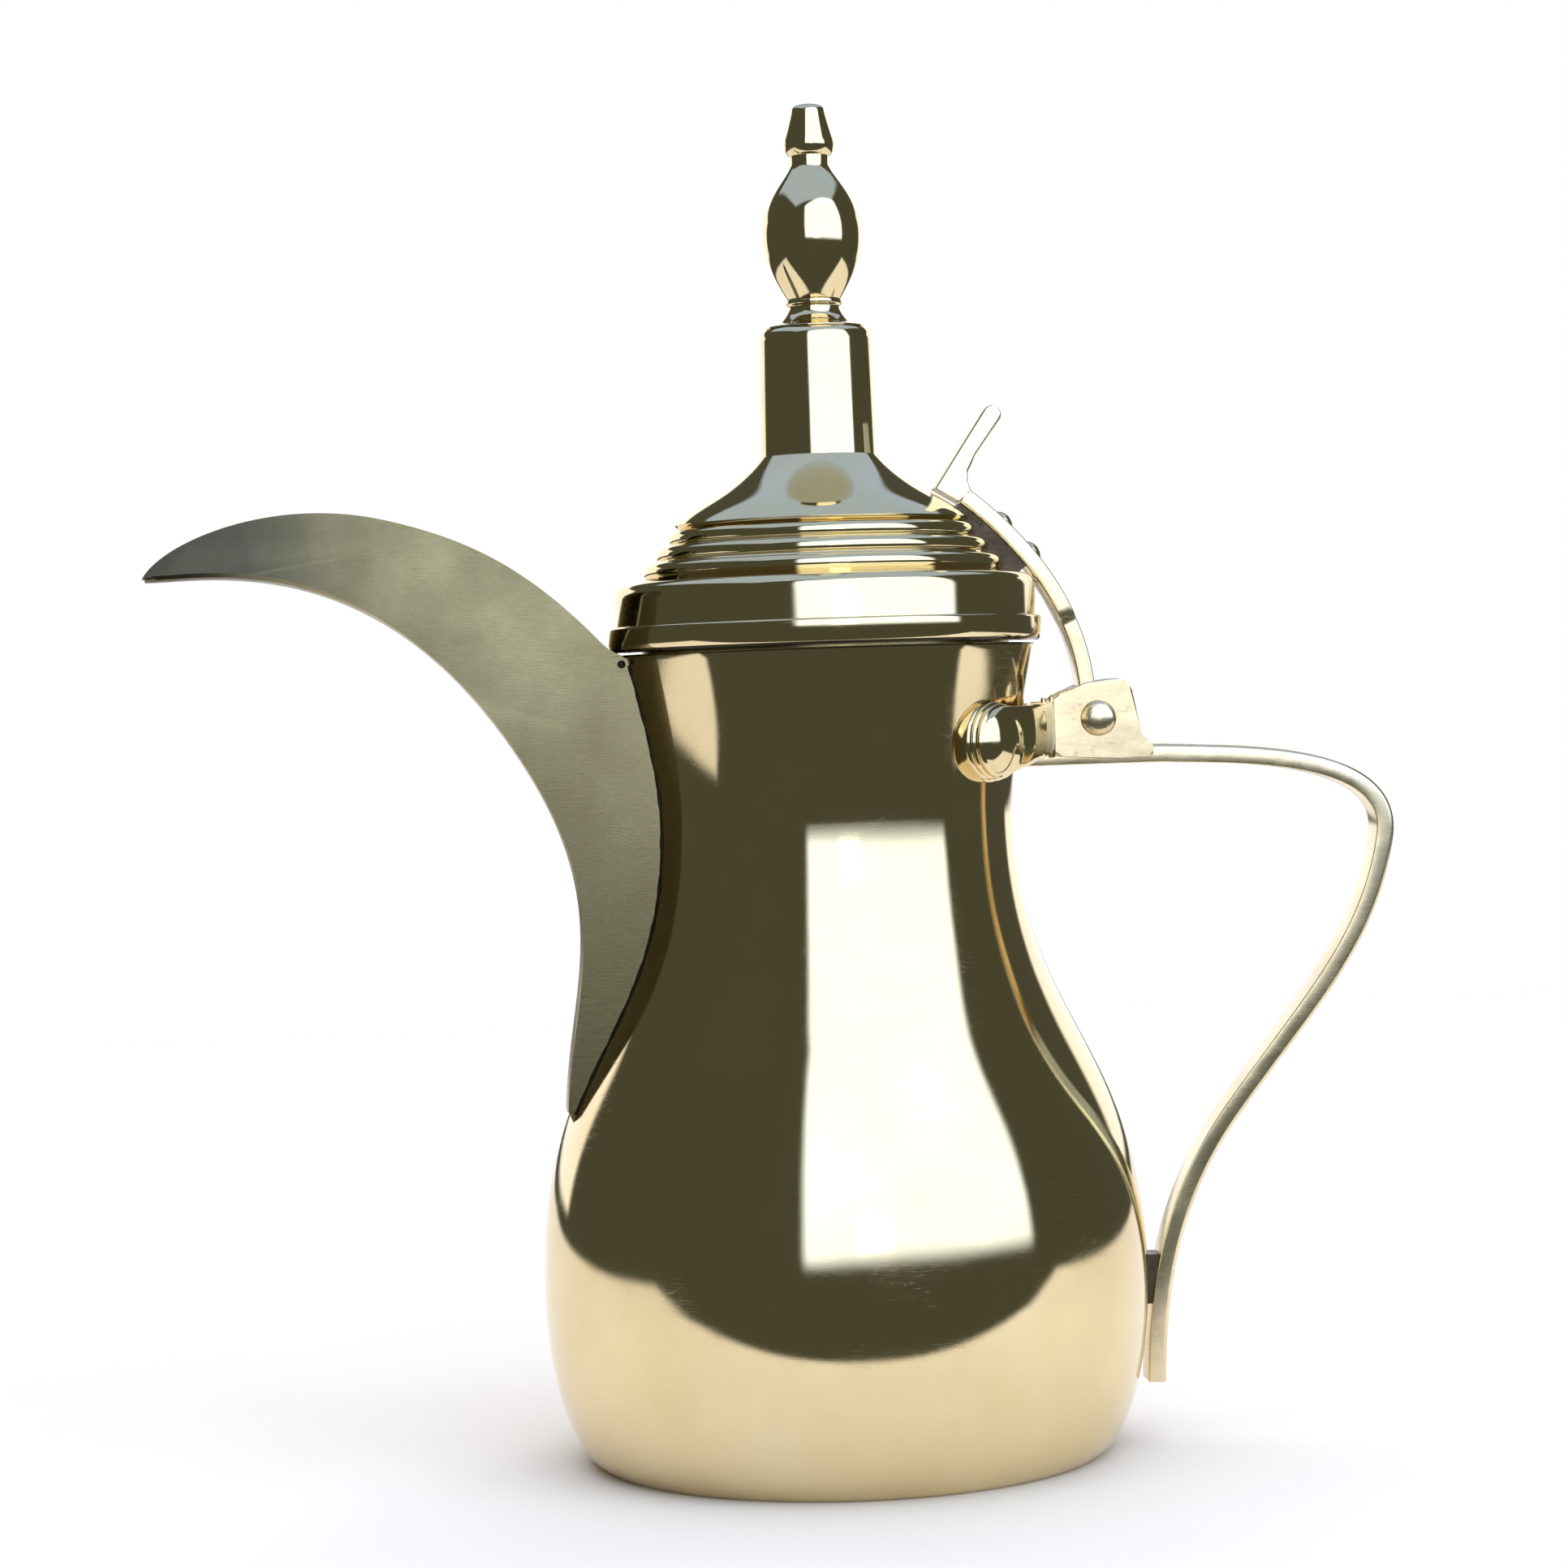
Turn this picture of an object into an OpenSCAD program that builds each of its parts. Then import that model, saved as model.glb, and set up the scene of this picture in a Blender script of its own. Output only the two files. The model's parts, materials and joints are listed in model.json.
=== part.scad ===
// Dallah coffee pot in spun and cast brass. Millimetres, +Z up.
// The origin is the centre of the flat base, the handle points to +X and the beak to -X.
// Every outline in the XZ plane is written as [x, z], and every turned profile as [radius, z].

/* [Pot body] */
// Thickness of the spun sheet of the pot and the lid
wall = 1.2; // [1:0.1:1.6]
// Radius of the flat base
base_r = 55.5; // [54:0.5:57]
// Radius of the belly at its widest
belly_r = 67; // [66:0.5:68]
// Height of the widest part of the belly
belly_z = 40; // [36:1:44]
// Radius of the waist
waist_r = 40.5; // [40:0.5:41]
// Height of the waist
waist_z = 141; // [139:1:143]
// Radius of the rim
rim_r = 46.4; // [46:0.1:46.8]
// Height of the rim
rim_z = 178.6; // [178:0.1:178.9]
// Height of the seam between the bowl and the neck, under the beak's lower end
seam_z = 70; // [68:1:74]

/* [Beak] */
// Thickness of the two side cheeks
cheek_t = 1.2; // [1:0.1:1.5]
// Half of the beak's width where it meets the pot
beak_half_root = 13.5; // [12:0.5:15]
// Half of the beak's width at its tip
beak_half_tip = 1.5; // [1.4:0.1:2]
// Thickness of the keel strip that closes the underside
keel_t = 1.5; // [1.2:0.1:2]
// Diameter of the straining holes behind the beak
strainer_d = 4; // [3:0.5:4]

/* [Handle] */
// Width of the handle bar
bar_w = 9; // [8.8:0.1:10]
// Thickness of the handle bar
bar_t = 4.4; // [3.8:0.1:4.6]

/* [Hinge] */
// Distance from the pot's axis to the hinge pin
pin_x = 59.6; // [59:0.1:60]
// Height of the hinge pin
pin_z = 161.5; // [161:0.1:162]
// Radius of the hinge pin
pin_r = 2; // [1.8:0.1:2.2]
// Running clearance around the hinge pin
pin_gap = 0.05; // [0.03:0.01:0.08]
// Radius of the pin's domed heads
pin_head_r = 4; // [3.5:0.1:4.5]
// Thickness of each bracket plate
plate_t = 2; // [1.8:0.1:2.5]
// Angle between the handle and each bracket's boss, around the neck
boss_angle = 41; // [38:1:44]
// Width of the strap above the hinge
strap_w = 10; // [9:0.5:11]
// Thickness of the strap
strap_t = 3.6; // [3.2:0.1:3.8]

/* [Lid] */
// Radius of the lid's wall
lid_r = 46.8; // [46.5:0.1:47]
// Radius of the lid's flange ring
flange_r = 48.1; // [47.8:0.1:48.5]
// Height of the flange ring
flange_h = 5.4; // [5:0.1:5.8]
// Gap between the pot's rim and the closed lid
rim_gap = 0.7; // [0.5:0.1:0.8]
// Radius of the sleeve that drops into the neck
sleeve_r = 40.5; // [40:0.1:40.6]
// Radius of the tower at its foot
tower_r = 12.9; // [12.5:0.1:13.2]

/* [Hidden] */

polished = "goldenrod";
satin = "darkkhaki";
cast = "burlywood";
$fn = 96;
steps = 14;    // straight pieces in each curve of an outline
far = 200;     // longer than any part, for cutting tools

// A point, a direction and a run of points on a cubic curve with control points p.
function point_at(p, t) =
    pow(1 - t, 3) * p[0] + 3 * pow(1 - t, 2) * t * p[1] + 3 * (1 - t) * t * t * p[2] + pow(t, 3) * p[3];
function heading(p, t) =
    let (d = pow(1 - t, 2) * (p[1] - p[0]) + 2 * (1 - t) * t * (p[2] - p[1]) + t * t * (p[3] - p[2]))
    d / norm(d);
// Points beside the curve, at a distance to the left of its heading. Distance 0 is the curve.
function beside(p, gap, n = steps, from = 0) =
    [for (i = [from:n]) let (t = i / n, d = heading(p, t)) point_at(p, t) + gap * [-d[1], d[0]]];
function backwards(list) = [for (i = [len(list) - 1:-1:0]) list[i]];
function but_last(list) = [for (i = [0:len(list) - 2]) list[i]];
// The second curve's first point is the first curve's last, so it is left out.
function chain(curves, gap = 0) =
    [for (c = [0:len(curves) - 1]) each beside(curves[c], gap, from = c == 0 ? 0 : 1)];

// Pot body
foot_curve = [[base_r, 0], [base_r + 7.5, 3.5], [belly_r, belly_z - 18], [belly_r, belly_z]];
flank_curve = [
    [belly_r, belly_z], [belly_r, belly_z + 50], [waist_r, waist_z - 46], [waist_r, waist_z]];
neck_curve = [[waist_r, waist_z], [waist_r, waist_z + 12], [rim_r - 2.6, rim_z - 12], [rim_r, rim_z]];
pot_curves = [foot_curve, flank_curve, neck_curve];
plate_r = base_r - wall;

// Beak: its top edge, and its under edge in two curves, all starting nearer the tip
beak_tip = [-150, 197.9];
beak_top = [-46.9, rim_z - 0.6];
beak_bottom = [-59.6, 76.8];
beak_top_curves = [[beak_tip, [-147.2, 205.6], [-121.9, 216.6], [-95.7, 209.7]],
    [[-95.7, 209.7], [-79.2, 205.3], [-65, 199.1], beak_top]];
beak_under_curves = [[beak_tip, [-138, 197.2], [-101.8, 205.6], [-72, 161.7]],
    [[-72, 161.7], [-47.1, 125], [-59, 107.2], [-60.9, 79.2]]];
beak_root_x = -40;
inside_x = -25;    // anywhere inside the pot's neck

// Handle: the middle line of the bar, from the brackets to its foot
handle_start = [74, 153.4];
handle_curves = [[handle_start, [88.2, 152.4], [127.2, 153.2], [123.8, 133.1]],
    [[123.8, 133.1], [119.8, 109.5], [105.3, 96.2], [87.8, 73.2]],
    [[87.8, 73.2], [74.3, 55.5], [69.7, 37.8], [68.8, 13.1]]];
handle_in_x = 35;    // inside the neck, before the neck is cut away

// Hinge
knuckle_r = 5;
tongue_w = bar_w - 0.6;    // the strap's tongue runs between the bracket plates
tongue_top_z = 185;
strap_curve = [[32.8, 212.9], [44.5, 203.7], [58, 188.5], [59.5, 168]];
rivet_places = [0.22, 0.4];    // along the strap, from its top end
rivet_r = 1.5;
rivet_head_r = 2.7;
rivet_reach = [9.5, 9.2];    // from the strap's outer face to each rivet's inner head
plate_y = bar_w / 2;
boss_z = 157.3;
boss_r = 8.8;
arm_z = [158.2, 159.8, 160.6, 160.8];    // the arm's middle line, from the boss to the plate
arm_h = [14.4, 11.6, 12, 13.2];
arm_t = [5, 4.6, 4.2, 3.4];
arm_at = [[36.6, -29.6], [43.6, -20.6], [47.3, -12.2], [49.6, -6.6]];    // seen from above

// Lid
lid_z = rim_z + rim_gap;
dome_z = lid_z + wall;    // the dome's wall stands on the flange ring's inner ledge
ring_bead = 1.9;
ring_at = [[38.2, 196.6], [35.2, 200.3], [32.3, 203.8]];
shoulder = [[lid_r, 190.9], [lid_r, 193], [45.8, 194], [43.4, 194.3]];
cone = [[33, 206.4], [29, 211.5], [19, 214], [tower_r, 221.4]];

// Tower and finial
tower_top_z = 249.6;
collar_z = 256.1;
bulb_top_z = 287.8;
top_z = 299.3;
rod_r = 2;
rod_hole_r = 2.1;

// The pot's outside as a solid, which the soldered parts are cut to fit.
module pot_solid() {
    rotate_extrude($fn = 240) polygon(concat([[0, 0]], chain(pot_curves), [[0, rim_z]]));
}

// A flat outline [x, z] given a width across Y.
module across(width) {
    rotate([90, 0, 0]) linear_extrude(width, center = true) children();
}

module shell() {
    rotate_extrude() polygon(concat(
        chain(pot_curves),
        [[rim_r - wall, rim_z]],
        backwards(but_last(chain(pot_curves, wall))),
        [[plate_r, wall], [plate_r, 0]]));
}

// The lower part of the pot's spun body.
module body_bowl() {
    color(polished) intersection() {
        shell();
        cylinder(r = far, h = seam_z);
    }
}

// The upper part, with the straining holes behind the beak.
module body_neck() {
    color(polished) difference() {
        shell();
        cylinder(r = far, h = seam_z);
        for (row = [0:7], column = [-1:1])
            translate([-far / 2 + inside_x, column * 6.4, 96 + row * 7.5])
                rotate([0, 90, 0]) cylinder(d = strainer_d, h = far, center = true);
    }
}

module base_plate() {
    color(polished) cylinder(r = plate_r, h = wall);
}

// The beak's outline: a crescent that runs on into the pot.
module crescent() {
    polygon(concat(
        chain(beak_top_curves),
        [[inside_x, beak_top[1]], [inside_x, beak_bottom[1]], beak_bottom],
        backwards(chain(beak_under_curves))));
}

// Half of the beak's width at x, less an inset.
function beak_half(x, inset = 0) =
    let(share = (x - beak_tip[0]) / (beak_root_x - beak_tip[0]))
    beak_half_tip + (beak_half_root - beak_half_tip) * share - inset;

module cheek() {
    ends = [beak_tip[0] - 1, inside_x];
    difference() {
        intersection() {
            across(far) crescent();
            linear_extrude(top_z) polygon([
                for (x = ends) [x, -beak_half(x)],
                for (x = backwards(ends)) [x, -beak_half(x, cheek_t)]]);
        }
        pot_solid();
    }
}

module beak_cheek_near() {
    color(satin) cheek();
}

module beak_cheek_far() {
    color(satin) mirror([0, 1, 0]) cheek();
}

module beak_keel() {
    ends = [beak_tip[0], inside_x];
    color(satin) difference() {
        intersection() {
            across(far) polygon(concat(
                chain(beak_under_curves),
                [beak_bottom, [inside_x, beak_bottom[1]], [inside_x, beak_bottom[1] + keel_t]],
                backwards(chain(beak_under_curves, keel_t))));
            linear_extrude(top_z) polygon([
                for (x = ends) [x, -beak_half(x, cheek_t)],
                for (x = backwards(ends)) [x, beak_half(x, cheek_t)]]);
        }
        pot_solid();
        // The channel's top edges stay above the keel, so the strip stops at the tip's opening.
        across(far) polygon(concat(
            chain(beak_top_curves),
            [[0, beak_top[1]], [0, top_z], [beak_tip[0] - 5, top_z], beak_tip]));
    }
}

// One bead of solder at the rim end of each cheek.
module beak_solder_beads() {
    bead_y = beak_half(beak_top[0]);
    color(cast) for (side = [-1, 1])
        difference() {
            translate([beak_top[0] + 1.2, side * bead_y, beak_top[1] - 1.4]) sphere(r = 0.9);
            pot_solid();
            cheek();
            mirror([0, 1, 0]) cheek();
        }
}

// A thin upright slice of the bracket's arm: its place, turn, middle height, height and thickness.
module arm_slice(place, turn, z, high, thick) {
    translate([place[0], place[1], z]) rotate([0, 0, turn]) scale([1, thick / high, 1])
        rotate([0, 90, 0]) cylinder(d = high, h = 0.5, center = true, $fn = 32);
}

// A ringed boss on the neck, an arm that hugs the neck, and a flat plate with the pin's hole.
module bracket() {
    difference() {
        union() {
            rotate([0, 0, -boss_angle]) translate([0, 0, boss_z]) rotate([0, 90, 0])
                rotate_extrude() polygon([
                    [0, waist_r - 4], [boss_r, waist_r - 4], [boss_r, 43.4], [boss_r - 0.7, 43.9],
                    [boss_r - 0.1, 44.5], [boss_r - 0.8, 45.1], [boss_r - 0.4, 45.7],
                    [boss_r - 1.2, 46.4], [boss_r - 1.3, 47.4], [boss_r - 2.6, 48.6],
                    [boss_r - 5, 49.4], [0, 49.7]]);
            for (i = [0:2])
                hull() {
                    arm_slice(arm_at[i], -60 + 8 * i, arm_z[i], arm_h[i], arm_t[i]);
                    arm_slice(arm_at[i + 1], -52 + 8 * i, arm_z[i + 1], arm_h[i + 1], arm_t[i + 1]);
                }
            translate([0, -plate_y - plate_t / 2, 0]) across(plate_t) polygon([
                [48.7, 153.2], [48.7, 166], [57, 169.5], [64, 170.2], [66.4, 169.4], [67.4, 167.4],
                [69.2, 157.6], [71.6, 155.6], [71.8, 152.4]]);
        }
        pot_solid();
        translate([pin_x, 0, pin_z]) rotate([90, 0, 0]) cylinder(r = pin_r, h = far, center = true);
    }
}

module bracket_near() {
    color(cast) bracket();
}

module bracket_far() {
    color(cast) mirror([0, 1, 0]) bracket();
}

// A flat bar bent to the handle's curve. Its straight end lies between the bracket plates.
module handle_bar() {
    half = bar_t / 2;
    color(cast) difference() {
        across(bar_w) polygon(concat(
            [[handle_in_x, handle_start[1] + half]],
            chain(handle_curves, half),
            backwards(chain(handle_curves, -half)),
            [[handle_in_x, handle_start[1] - half]]));
        pot_solid();
    }
}

// The soldered pad that holds the bar's lower end off the belly.
module handle_foot_pad() {
    pad = [6, 7, 11];
    color(cast) difference() {
        translate([belly_r - 3, -pad[1] / 2, 30.5]) cube(pad);
        pot_solid();
        handle_bar();
    }
}

// A domed rivet head, standing on z = 0.
module domed_head(r, h) {
    rotate_extrude() polygon(concat([[0, 0]], [for (a = [0:10:90]) [r * cos(a), h * sin(a)]]));
}

module hinge_pin() {
    outer_y = plate_y + plate_t;
    color(cast) translate([pin_x, 0, pin_z]) union() {
        rotate([90, 0, 0]) cylinder(r = pin_r, h = 2 * outer_y, center = true);
        for (side = [-1, 1])
            translate([0, side * outer_y, 0]) rotate([-side * 90, 0, 0]) domed_head(pin_head_r, 2);
    }
}

// Places its children on the strap's outer face, with their +Z pointing out of it.
module on_strap(t) {
    d = heading(strap_curve, t);
    p = point_at(strap_curve, t);
    translate([p[0], 0, p[1]]) rotate([0, -atan2(d[1], d[0]), 0]) children();
}

module rivets() {
    for (i = [0:1])
        on_strap(rivet_places[i]) union() {
            translate([0, 0, -0.4]) domed_head(rivet_head_r, 2);
            translate([0, 0, -rivet_reach[i] - 1]) cylinder(r = rivet_r, h = rivet_reach[i] + 1);
            translate([0, 0, -rivet_reach[i] - 1.2]) cylinder(r = rivet_head_r - 0.3, h = 1.2);
        }
}

module strap_rivets() {
    color(cast) rivets();
}

// The strap's side outline, with the thumb lever at its top and its tongue down to the pin.
module strap_outline() {
    polygon(concat(
        beside(strap_curve, 0),
        [[pin_x + 1, pin_z], [pin_x - 4, pin_z]],
        backwards(beside(strap_curve, -strap_t)),
        [[25.2, 213.6], [36.2, 230], [37.4, 231.2], [38.9, 231.4], [40.1, 230.5], [40.2, 229],
         [33.8, 219.6], [31.7, 216.3], [31.5, 214.9]]));
}

module lid_strap() {
    color(cast) difference() {
        union() {
            difference() {
                across(strap_w) strap_outline();
                for (side = [-1, 1])
                    translate([0, side * (tongue_w / 2 + far / 2), tongue_top_z - far / 2])
                        cube(far, center = true);
            }
            translate([pin_x, 0, pin_z]) rotate([90, 0, 0])
                cylinder(r = knuckle_r, h = tongue_w, center = true);
        }
        translate([pin_x, 0, pin_z]) rotate([90, 0, 0])
            cylinder(r = pin_r + pin_gap, h = far, center = true);
        rivets();
    }
}

// A round bead on the lid, from its lower crease to its upper one.
function bead(centre) =
    [for (a = [-40:16:120]) centre + ring_bead * [cos(a), sin(a)]];
dome_outside = concat([[lid_r, dome_z]], beside(shoulder, 0), bead(ring_at[0]), bead(ring_at[1]),
    bead(ring_at[2]), beside(cone, 0, from = 1));

// Solder that fills the wedge between the strap and the lid, and carries the rivets.
module strap_packing() {
    reach = 7;    // into the dome, before the dome is cut away
    color(cast) difference() {
        across(tongue_w) polygon(concat(
            [for (i = [0:6]) beside(strap_curve, -strap_t)[i]],
            [for (i = [6:-1:0]) beside(strap_curve, -strap_t - reach)[i]]));
        rotate_extrude() polygon(concat([[0, dome_z]], dome_outside, [[0, cone[3][1]]]));
        rivets();
    }
}

module lid_dome() {
    inside = concat([[lid_r - wall, dome_z], [lid_r - wall, 191]], [[44, 192.7], [39.8, 194]],
        [[31, 203.6]], beside(cone, wall, from = 2));
    color(polished) difference() {
        rotate_extrude() polygon(concat(dome_outside, backwards(inside)));
        cylinder(r = tower_r, h = top_z);
        rivets();
    }
}

module lid_flange_ring() {
    color(polished) rotate_extrude() polygon([
        [sleeve_r, lid_z], [flange_r - 1, lid_z], [flange_r - 0.4, lid_z + 0.5],
        [flange_r, lid_z + 1.6], [flange_r, lid_z + flange_h - 0.4], [flange_r - 0.4, lid_z + flange_h],
        [lid_r, lid_z + flange_h], [lid_r, dome_z], [sleeve_r, dome_z]]);
}

module lid_sleeve() {
    depth = 5;
    color(polished) difference() {
        translate([0, 0, rim_z - depth]) cylinder(r = sleeve_r, h = depth + rim_gap + wall);
        cylinder(r = sleeve_r - wall, h = top_z);
    }
}

module lid_tower() {
    foot_z = 218.6;
    top_r = tower_r - 0.4;
    color(polished) rotate_extrude() polygon([
        [tower_r - wall, foot_z], [tower_r, foot_z], [tower_r, 221.4], [top_r, 246.8],
        [top_r - 0.3, 248.2], [top_r - 0.9, 249.2], [top_r - 1.8, tower_top_z],
        [rod_hole_r, tower_top_z], [rod_hole_r, tower_top_z - 1.4],
        [top_r - wall - 0.2, tower_top_z - 1.4], [top_r - wall, 246.8]]);
}

module tower_collar() {
    flare = [
        [10.9, tower_top_z + 0.4], [7.6, tower_top_z + 1.2], [6, tower_top_z + 2.6],
        [5.8, collar_z - 1.6]];
    color(polished) rotate_extrude() polygon(concat(
        [[rod_hole_r, tower_top_z], [10.9, tower_top_z]],
        beside(flare, 0),
        [[6.3, collar_z - 1], [6.3, collar_z - 0.3], [5.9, collar_z], [rod_hole_r, collar_z]]));
}

module finial_bulb() {
    lower = [[5.9, collar_z], [8.6, collar_z + 4.4], [11, collar_z + 8.4], [11, collar_z + 14.4]];
    upper = [
        [11, collar_z + 14.4], [11, collar_z + 22], [5.6, bulb_top_z - 5.4],
        [4.3, bulb_top_z - 2.2]];
    color(polished) rotate_extrude() polygon(concat(
        [[rod_hole_r, collar_z]],
        beside(lower, 0), beside(upper, 0, from = 1),
        [[4.3, bulb_top_z], [rod_hole_r, bulb_top_z]]));
}

module finial_cap() {
    hip = [
        [4.5, bulb_top_z], [5.2, bulb_top_z + 0.4], [6, bulb_top_z + 2], [5.6, bulb_top_z + 3.2]];
    cone = [
        [5.6, bulb_top_z + 3.2], [5, bulb_top_z + 5], [4.1, bulb_top_z + 8], [3.7, top_z - 1.4]];
    color(polished) difference() {
        rotate_extrude() polygon(concat(
            [[0, bulb_top_z]],
            beside(hip, 0), beside(cone, 0, from = 1),
            [[3.4, top_z - 0.6], [2.6, top_z - 0.1], [0, top_z]]));
        cylinder(r = rod_r, h = bulb_top_z + 6);
    }
}

// Under the tower's top: the rod that pulls the finial down, its washer and its nut.
washer_z = tower_top_z - 2.4;
nut_h = 3.2;
module finial_rod() {
    low_z = washer_z - nut_h - 2;
    color(cast) translate([0, 0, low_z]) cylinder(r = rod_r, h = bulb_top_z + 6 - low_z);
}

module finial_washer() {
    color(cast) difference() {
        translate([0, 0, washer_z]) cylinder(r = 5, h = 1);
        cylinder(r = rod_hole_r, h = top_z);
    }
}

module finial_nut() {
    color(cast) difference() {
        translate([0, 0, washer_z - nut_h]) cylinder(r = 4, h = nut_h, $fn = 6);
        cylinder(r = rod_r, h = top_z);
    }
}

body_bowl();
body_neck();
base_plate();
beak_cheek_near();
beak_cheek_far();
beak_keel();
beak_solder_beads();
bracket_near();
bracket_far();
handle_bar();
handle_foot_pad();
hinge_pin();
lid_strap();
strap_rivets();
strap_packing();
lid_dome();
lid_flange_ring();
lid_sleeve();
lid_tower();
tower_collar();
finial_bulb();
finial_cap();
finial_rod();
finial_washer();
finial_nut();
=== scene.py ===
import json
import math
import bmesh
import bpy
from mathutils import Matrix, Vector

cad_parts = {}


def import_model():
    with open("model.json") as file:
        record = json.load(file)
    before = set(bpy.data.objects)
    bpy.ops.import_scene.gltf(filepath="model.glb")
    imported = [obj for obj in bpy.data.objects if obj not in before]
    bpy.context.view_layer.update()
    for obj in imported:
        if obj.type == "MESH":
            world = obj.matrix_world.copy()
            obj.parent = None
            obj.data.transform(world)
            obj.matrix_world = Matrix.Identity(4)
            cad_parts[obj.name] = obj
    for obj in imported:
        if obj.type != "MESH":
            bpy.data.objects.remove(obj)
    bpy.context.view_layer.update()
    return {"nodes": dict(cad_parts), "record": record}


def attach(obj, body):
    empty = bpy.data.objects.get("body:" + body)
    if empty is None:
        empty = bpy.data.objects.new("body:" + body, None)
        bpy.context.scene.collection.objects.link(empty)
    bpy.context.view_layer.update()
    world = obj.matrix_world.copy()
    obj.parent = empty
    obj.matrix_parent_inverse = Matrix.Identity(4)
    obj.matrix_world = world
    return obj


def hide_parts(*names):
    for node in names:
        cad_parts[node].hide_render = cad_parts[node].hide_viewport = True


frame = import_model()

MM = 0.001    # outlines below are written in millimetres and made in metres
SIDES = ((-1, "near"), (1, "far"))    # the sign of y on each side of the pot, and the side's name


# ---------------------------------------------------------------- sizes, as in the CAD

WALL = 1.2
BASE_R = 55.5
BELLY_R, BELLY_Z = 67.0, 40.0
WAIST_R, WAIST_Z = 40.5, 141.0
RIM_R, RIM_Z = 46.4, 178.6
PLATE_R = BASE_R - WALL

TIP = (-150.0, 197.9)
BEAK_TOP = (-46.9, RIM_Z - 0.6)
BEAK_ROOT_X = -40.0
BEAK_HALF_ROOT, BEAK_HALF_TIP = 13.5, 1.5
BEAK_LOW_Z = 76.9    # where the cheeks' lowest points meet the bowl
CHEEK_T, KEEL_T = 1.2, 1.5

# the straining holes behind the beak
HOLE_R, HOLE_ROWS = 2.0, 8
LOWEST_HOLE_Z, HOLE_GAP_Z, HOLE_GAP_Y = 96.0, 7.5, 6.4

BAR_W, BAR_T = 9.0, 4.4
BAR_Z = 153.4       # the handle's level stretch between the plates
PIN_X, PIN_Z, PIN_R = 59.6, 161.5, 2.0
PIN_GAP = 0.05
KNUCKLE_R = 5.0
PLATE_T = 2.0
BOSS_ANGLE, BOSS_Z, BOSS_R = 41.0, 157.3, 8.8
STRAP_W, STRAP_T = 10.0, 3.6
TONGUE_W, TONGUE_TOP = BAR_W - 0.6, 185.0

LID_Z = RIM_Z + 0.7
LID_R, FLANGE_R, FLANGE_H = 46.8, 48.1, 5.4
SLEEVE_R = 40.5
DOME_Z = LID_Z + WALL
STEP_R = 1.9
TOWER_R = 12.9
TOWER_TOP, COLLAR_Z, BULB_TOP, TOP_Z = 249.6, 256.1, 287.8, 299.3
ROD_HOLE_R = 2.1

# what the finished surfaces add to the CAD's sizes
SEAM_GAP = 0.05     # between a cheek's sheet and the pot
SEAT_DROP = 0.15    # how far the flange hangs below the CAD's, to close the joint to a line
CROWN = 0.25        # how far the middle of the handle's outer face stands above its sides
CROWN_INSET = 0.15  # keeps that face inside the CAD bar


# ---------------------------------------------------------------- curves

def on_cubic(p, t):
    """A point at t on the cubic curve with control points p."""
    s = 1 - t
    weights = (s ** 3, 3 * s * s * t, 3 * s * t * t, t ** 3)
    return tuple(sum(w * q[i] for w, q in zip(weights, p)) for i in (0, 1))


def cubic(p, count=24, first=0):
    """Points along the cubic, from number first of count."""
    return [on_cubic(p, i / count) for i in range(first, count + 1)]


def chain(curves, count=24):
    """Points along curves that join end to start."""
    points = cubic(curves[0], count)
    for p in curves[1:]:
        points += cubic(p, count, 1)
    return points


def headings(points):
    """A unit direction at each point of an open line."""
    found = []
    last = len(points) - 1
    for i in range(len(points)):
        a, b = points[max(i - 1, 0)], points[min(i + 1, last)]
        dx, dz = b[0] - a[0], b[1] - a[1]
        size = math.hypot(dx, dz)
        found.append((dx / size, dz / size))
    return found


def beside(points, gap):
    """The line moved to the left of its heading by gap, or by gap(i) at point i."""
    gaps = [gap(i) if callable(gap) else gap for i in range(len(points))]
    return [(p[0] - g * d[1], p[1] + g * d[0]) for p, d, g in zip(points, headings(points), gaps)]


def soften(points, radius, count=4):
    """Rounds the corners of a closed outline that turn by more than 25 degrees."""
    rounded = []
    for i, p in enumerate(points):
        p = Vector(p)
        u = Vector(points[i - 1]) - p
        v = Vector(points[(i + 1) % len(points)]) - p
        if u.length < 1e-6 or v.length < 1e-6 or math.degrees(u.angle(v)) > 155:
            rounded.append(tuple(p))
            continue
        reach = min(radius, u.length * 0.45, v.length * 0.45)
        start, end = p + u.normalized() * reach, p + v.normalized() * reach
        for k in range(count + 1):
            t = k / count
            rounded.append(tuple(start.lerp(p, t).lerp(p.lerp(end, t), t)))
    return rounded


def smooth_step(low, high, value):
    """0 at low and 1 at high, with level ends. low may be the greater."""
    t = min(max((value - low) / (high - low), 0.0), 1.0)
    return t * t * (3 - 2 * t)


FOOT = [(BASE_R, 0), (BASE_R + 7.5, 3.5), (BELLY_R, BELLY_Z - 18), (BELLY_R, BELLY_Z)]
FLANK = [(BELLY_R, BELLY_Z), (BELLY_R, BELLY_Z + 50), (WAIST_R, WAIST_Z - 46), (WAIST_R, WAIST_Z)]
NECK = [(WAIST_R, WAIST_Z), (WAIST_R, WAIST_Z + 12), (RIM_R - 2.6, RIM_Z - 12), (RIM_R, RIM_Z)]
POT_LINE = chain([FOOT, FLANK, NECK], 48)


def pot_radius(z):
    """The pot's outer radius at a height."""
    for (r0, z0), (r1, z1) in zip(POT_LINE, POT_LINE[1:]):
        if z0 <= z <= z1:
            return r0 + (r1 - r0) * (z - z0) / (z1 - z0)
    return RIM_R if z > RIM_Z else BASE_R


# ---------------------------------------------------------------- meshes

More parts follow.
